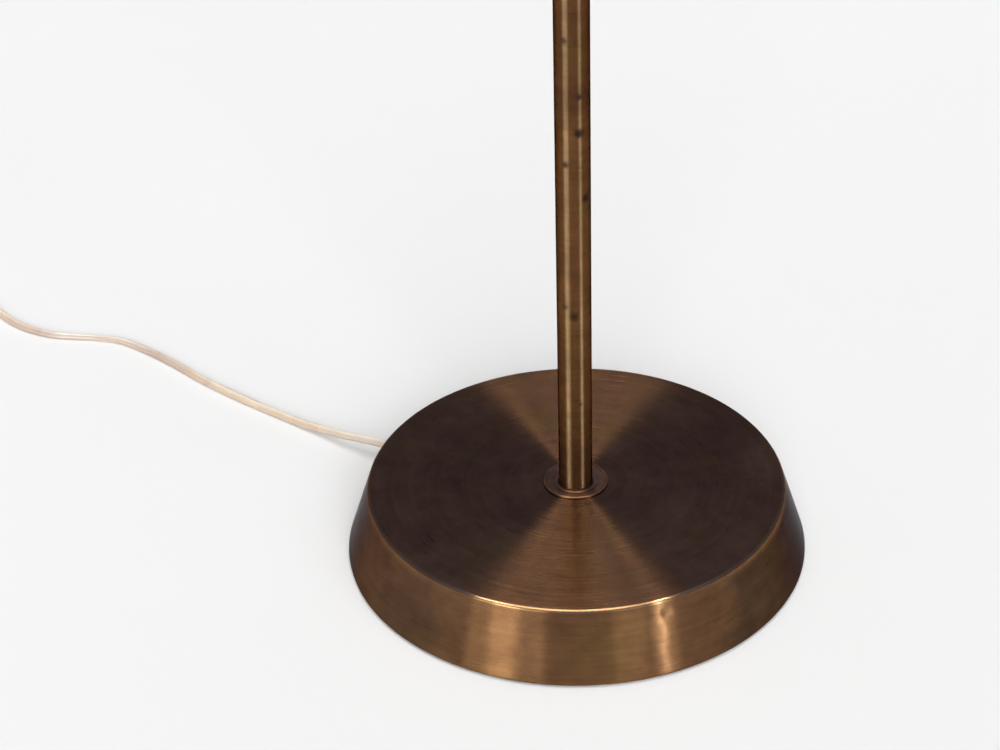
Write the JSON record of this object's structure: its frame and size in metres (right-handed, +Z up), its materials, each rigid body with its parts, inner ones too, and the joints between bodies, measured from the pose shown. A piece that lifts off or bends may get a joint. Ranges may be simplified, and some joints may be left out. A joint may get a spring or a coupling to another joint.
{
  "type": "floor lamp",
  "caption": "Floor lamp with a round weighted base, a height-adjustable pole, a swing arm and a tilting cone shade with a rotary switch, on a flat mains cord.",
  "frame": {"origin": "on the floor, on the pole's axis", "axes": "+Z up along the pole, +X along the arm at rest, the cord lies toward -X and +Y"},
  "size_m": [0.987, 0.4477, 1.2499],
  "materials": {
    "aged_brass": "aged, brushed round the axis",
    "plain_brass": "machined",
    "iron": "as cast",
    "steel": "zinc plated",
    "felt": "felt",
    "clear_cord": "aged clear insulation",
    "cord_bush": "soft moulding",
    "nylon": "natural nylon",
    "tie": "woven strap",
    "plug": "moulded",
    "nickel": "nickel plated",
    "black_plastic": "moulded",
    "ceramic": "glazed",
    "opal_glass": "opal"
  },
  "bodies": {
    "stand": {"base_shell": "aged_brass", "base_weight": "iron", "base_cover": "steel", "base_felt": "felt", "cover_screws": "steel", "pole_collar": "aged_brass", "pole_stud": "plain_brass", "foot_plug": "plain_brass", "base_washer": "steel", "lock_washer": "steel", "base_nut": "steel", "lower_pole": "aged_brass", "clamp_collar": "aged_brass", "cord_gland": "cord_bush", "cord_clamp": "black_plastic", "clamp_screws": "steel", "base_lead": "clear_cord", "pole_lead": "clear_cord", "cord_run": "clear_cord", "cord_coil": "clear_cord", "cord_tail": "clear_cord", "cord_tie": "tie", "plug_body": "plug", "plug_pins": "nickel"},
    "mast": {"inner_pole": "aged_brass", "guide_bush": "nylon", "swivel_post": "aged_brass", "swivel_washers": "nylon", "swivel_nut": "steel"},
    "arm": {"arm_hub": "aged_brass", "hub_cap": "aged_brass", "arm_tube": "aged_brass", "arm_ferrule": "aged_brass", "arm_knuckle": "aged_brass", "arm_lead": "clear_cord"},
    "head": {"head_fork": "aged_brass", "tilt_bolt": "aged_brass", "tilt_washers": "steel", "tilt_nut": "aged_brass", "head_nipple": "plain_brass", "shade_seat": "aged_brass", "shade": "aged_brass", "shade_nut": "steel", "holder_cap": "black_plastic", "holder_body": "black_plastic", "socket_insert": "ceramic", "socket_shell": "plain_brass", "centre_contact": "plain_brass", "bulb_glass": "opal_glass", "bulb_cap": "nickel", "bulb_contact": "black_plastic", "switch_bush": "aged_brass", "switch_leaves": "plain_brass", "head_lead": "clear_cord"},
    "switch": {"switch_spindle": "steel", "switch_cam": "black_plastic", "switch_knob": "black_plastic"},
    "clamp": {"clamp_knob": "aged_brass", "clamp_tip": "nylon"}
  },
  "joints": [
    {"name": "pole_height", "type": "slide", "parent": "stand", "child": "mast", "axis": [0, 0, 1], "range_m": [-0.3, 0.12], "deforming": ["pole_lead"]},
    {"name": "arm_swing", "type": "hinge", "parent": "mast", "child": "arm", "pos_m": [0, 0, 1.2246], "axis": [0, 0, 1], "range_deg": [-170, 170]},
    {"name": "shade_tilt", "type": "hinge", "parent": "arm", "child": "head", "pos_m": [0.32, 0, 1.2246], "axis": [0, -1, 0], "range_deg": [-25, 75]},
    {"name": "switch_turn", "type": "hinge", "parent": "head", "child": "switch", "pos_m": [0.32, -0.03, 1.1775], "axis": [0, -1, 0], "range_deg": [0, 90]},
    {"name": "clamp_turn", "type": "hinge", "parent": "stand", "child": "clamp", "pos_m": [0, -0.02, 0.708], "axis": [0, -1, 0], "range_deg": [0, 360]}
  ]
}
